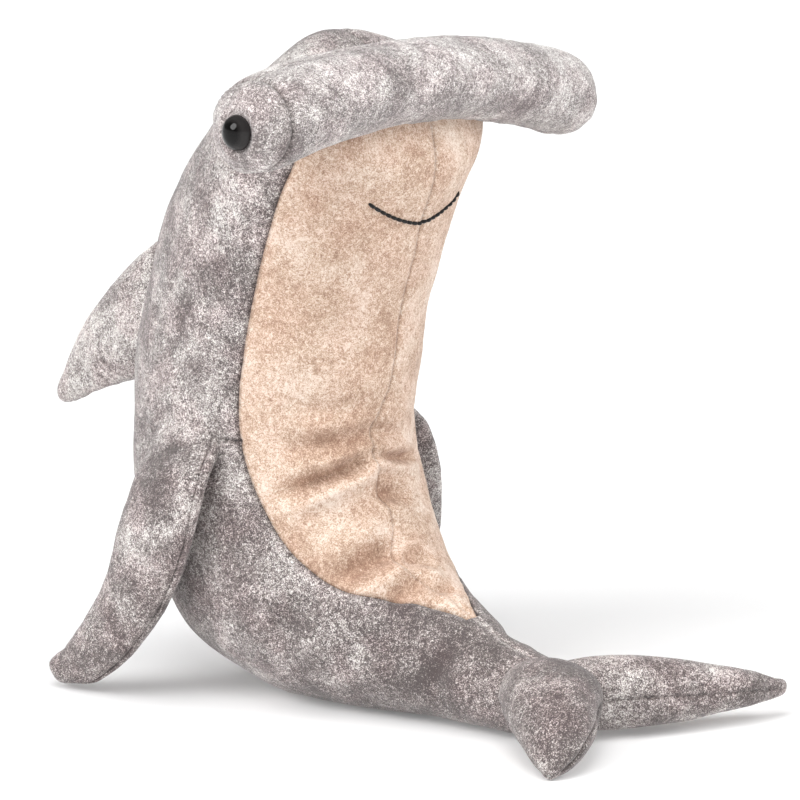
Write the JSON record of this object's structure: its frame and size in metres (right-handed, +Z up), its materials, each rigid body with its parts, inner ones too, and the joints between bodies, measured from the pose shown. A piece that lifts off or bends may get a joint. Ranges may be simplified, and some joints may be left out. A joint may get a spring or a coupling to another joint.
{
  "type": "plush shark",
  "caption": "Stuffed plush hammerhead shark that sits upright on its tail, with jointed head, fins and tail.",
  "frame": {"origin": "centre of the bounding box on the floor that the toy sits on", "axes": "the belly faces -Y and the tail lies along -Y, the hammer runs along X with the toy's own left at +X, +Z is up"},
  "size_m": [0.2276, 0.3445, 0.2868],
  "materials": {
    "grey_plush": "mottled crushed grey velvet plush",
    "pale_grey_plush": "paler crushed grey velvet plush",
    "cream_plush": "short smooth cream velour",
    "filling": "loose polyester fibre, never seen",
    "pellets": "plastic pellets in a cloth bag, never seen",
    "eye_plastic": "glossy black",
    "washer_plastic": "white lock washer, never seen",
    "mouth_thread": "black embroidery thread"
  },
  "bodies": {
    "torso": {"torso_filling": "filling", "pellet_bag": "pellets", "back_panel_left": "grey_plush", "back_panel_right": "grey_plush", "belly_panel_left": "cream_plush", "belly_panel_right": "cream_plush", "flank_panel_left": "grey_plush", "flank_panel_right": "grey_plush"},
    "head": {"head_filling": "filling", "hammer_filling": "filling", "hammer_front_panel": "pale_grey_plush", "hammer_back_panel": "pale_grey_plush", "hammer_end_cap_left": "pale_grey_plush", "hammer_end_cap_right": "pale_grey_plush", "eye_left": "eye_plastic", "eye_right": "eye_plastic", "eye_washer_left": "washer_plastic", "eye_washer_right": "washer_plastic", "mouth_stitch": "mouth_thread"},
    "pectoral_fin_left": {"pectoral_left_outer_panel": "grey_plush", "pectoral_left_inner_panel": "grey_plush", "pectoral_left_filling": "filling"},
    "pectoral_fin_right": {"pectoral_right_outer_panel": "grey_plush", "pectoral_right_inner_panel": "grey_plush", "pectoral_right_filling": "filling"},
    "dorsal_fin": {"dorsal_fin_left_panel": "grey_plush", "dorsal_fin_right_panel": "grey_plush", "dorsal_fin_filling": "filling"},
    "tail": {"tail_panel_left": "grey_plush", "tail_panel_right": "grey_plush", "tail_filling": "filling"},
    "caudal_fin": {"caudal_root_filling": "filling", "caudal_upper_lobe_top_panel": "grey_plush", "caudal_upper_lobe_bottom_panel": "grey_plush", "caudal_upper_lobe_filling": "filling", "caudal_lower_lobe_top_panel": "grey_plush", "caudal_lower_lobe_bottom_panel": "grey_plush", "caudal_lower_lobe_filling": "filling"}
  },
  "joints": [
    {"name": "neck_nod", "type": "hinge", "parent": "torso", "child": "head", "pos_m": [0, 0.0202, 0.1932], "axis": [1, 0, 0], "range_deg": [-18, 18], "stiffness_Nm_per_rad": 4, "deforming": ["back_panel_left", "back_panel_right", "belly_panel_left", "belly_panel_right"]},
    {"name": "tail_swing", "type": "hinge", "parent": "torso", "child": "tail", "pos_m": [0, -0.08011, 0.02098], "axis": [0, 0, 1], "range_deg": [-25, 25], "stiffness_Nm_per_rad": 1},
    {"name": "caudal_fin_flex", "type": "hinge", "parent": "tail", "child": "caudal_fin", "pos_m": [0, -0.1108, 0.0172], "axis": [-1, 0, 0], "range_deg": [0, 25], "stiffness_Nm_per_rad": 0.4},
    {"name": "pectoral_left_flap", "type": "hinge", "parent": "torso", "child": "pectoral_fin_left", "pos_m": [0.0623, 0.0307, 0.1067], "axis": [0, -0.7786, 0.6275], "range_deg": [-15, 35], "stiffness_Nm_per_rad": 0.3},
    {"name": "pectoral_right_flap", "type": "hinge", "parent": "torso", "child": "pectoral_fin_right", "pos_m": [-0.0623, 0.0367, 0.1067], "axis": [0, 0.9073, -0.4205], "range_deg": [0, 60], "stiffness_Nm_per_rad": 0.3},
    {"name": "dorsal_fin_sway", "type": "hinge", "parent": "torso", "child": "dorsal_fin", "pos_m": [0, 0.09785, 0.1612], "axis": [0, 0.178, -0.984], "range_deg": [-25, 25], "stiffness_Nm_per_rad": 0.3}
  ]
}
